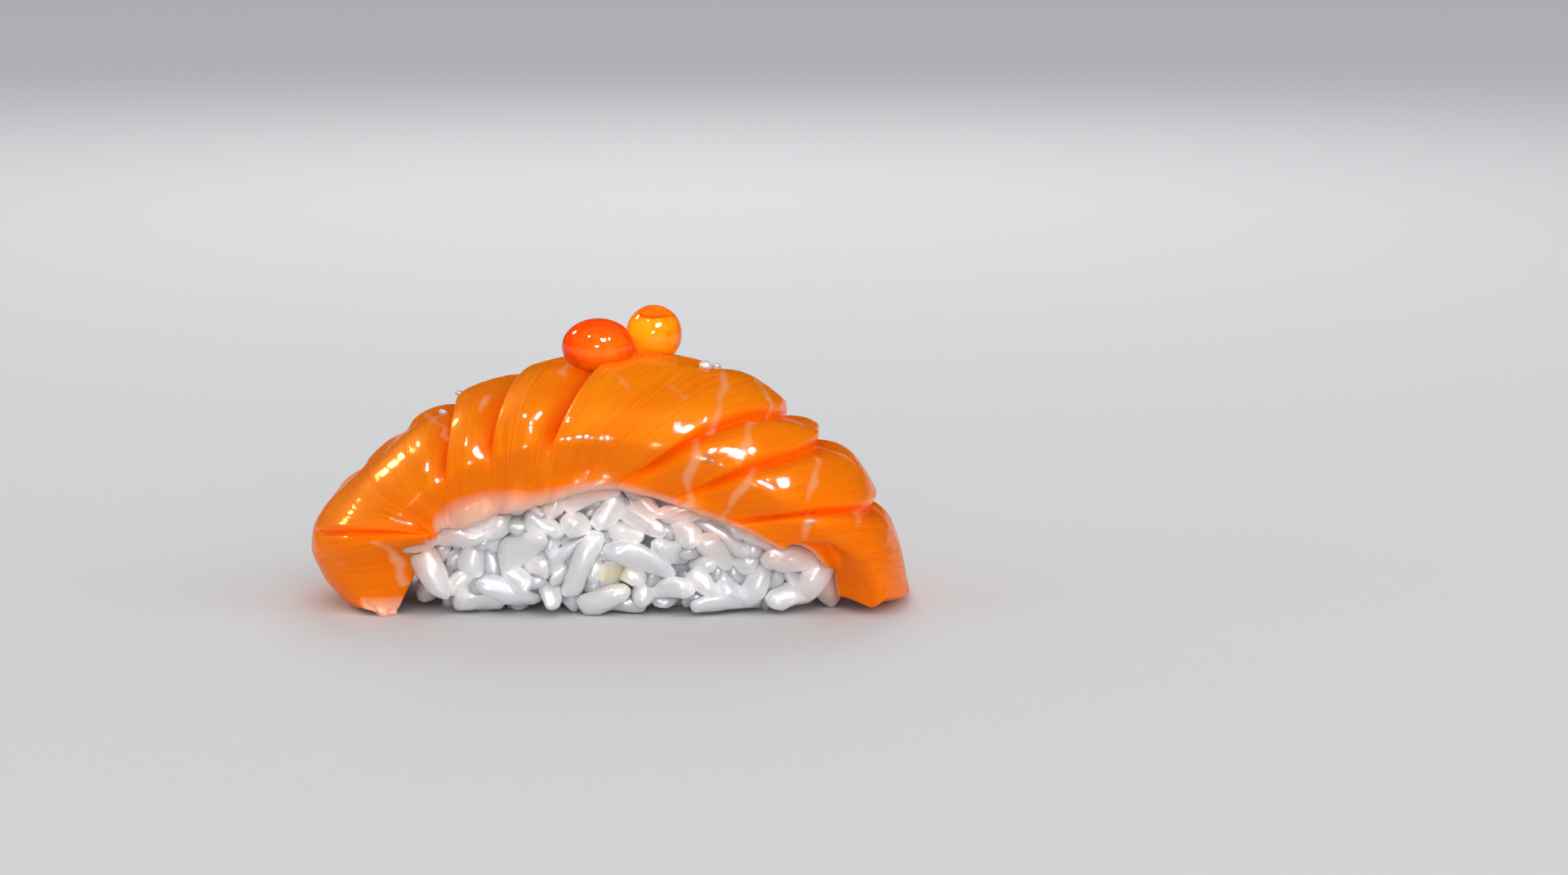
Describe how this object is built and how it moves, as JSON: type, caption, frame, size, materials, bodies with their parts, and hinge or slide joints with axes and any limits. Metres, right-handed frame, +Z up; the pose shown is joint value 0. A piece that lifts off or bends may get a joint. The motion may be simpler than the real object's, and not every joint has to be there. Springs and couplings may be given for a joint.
{
  "type": "salmon nigiri",
  "caption": "Salmon nigiri: a scored slice of raw salmon draped over a pressed block of rice, with salmon roe on top.",
  "frame": {"origin": "on the table, under the middle of the whole nigiri", "axes": "+X along the slice from its curled end to its open end, +Y to the back, +Z up"},
  "size_m": [0.0688, 0.0298, 0.0334],
  "materials": {
    "salmon": "wet, translucent raw salmon with pale fat lines",
    "rice": "moist, translucent cooked white rice",
    "roe": "clear orange roe with a smooth skin"
  },
  "bodies": {
    "root": {"salmon": "salmon", "rice": "rice", "roe_left": "roe", "roe_right": "roe"}
  },
  "joints": []
}
